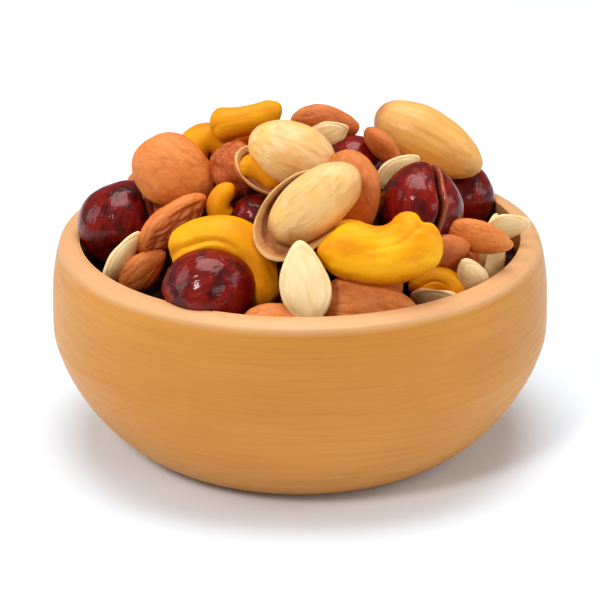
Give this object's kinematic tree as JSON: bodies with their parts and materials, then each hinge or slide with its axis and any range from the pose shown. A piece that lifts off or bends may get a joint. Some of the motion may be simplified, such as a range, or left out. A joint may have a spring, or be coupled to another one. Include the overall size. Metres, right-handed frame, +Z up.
{
  "type": "bowl of trail mix",
  "caption": "Small turned wooden bowl heaped with mixed nuts and seeds: hazelnuts, almonds, cashews, pistachios and pumpkin seeds.",
  "frame": {"origin": "middle of the bowl's flat foot, on the surface it stands on", "axes": "+Z up out of the bowl, -Y towards the viewer of the reference view, +X to the viewer's right"},
  "size_m": [0.12, 0.12, 0.0837],
  "materials": {
    "wood": "satin",
    "nuts": "satin"
  },
  "bodies": {
    "root": {"bowl": "wood", "nut_heap": "nuts"}
  },
  "joints": []
}
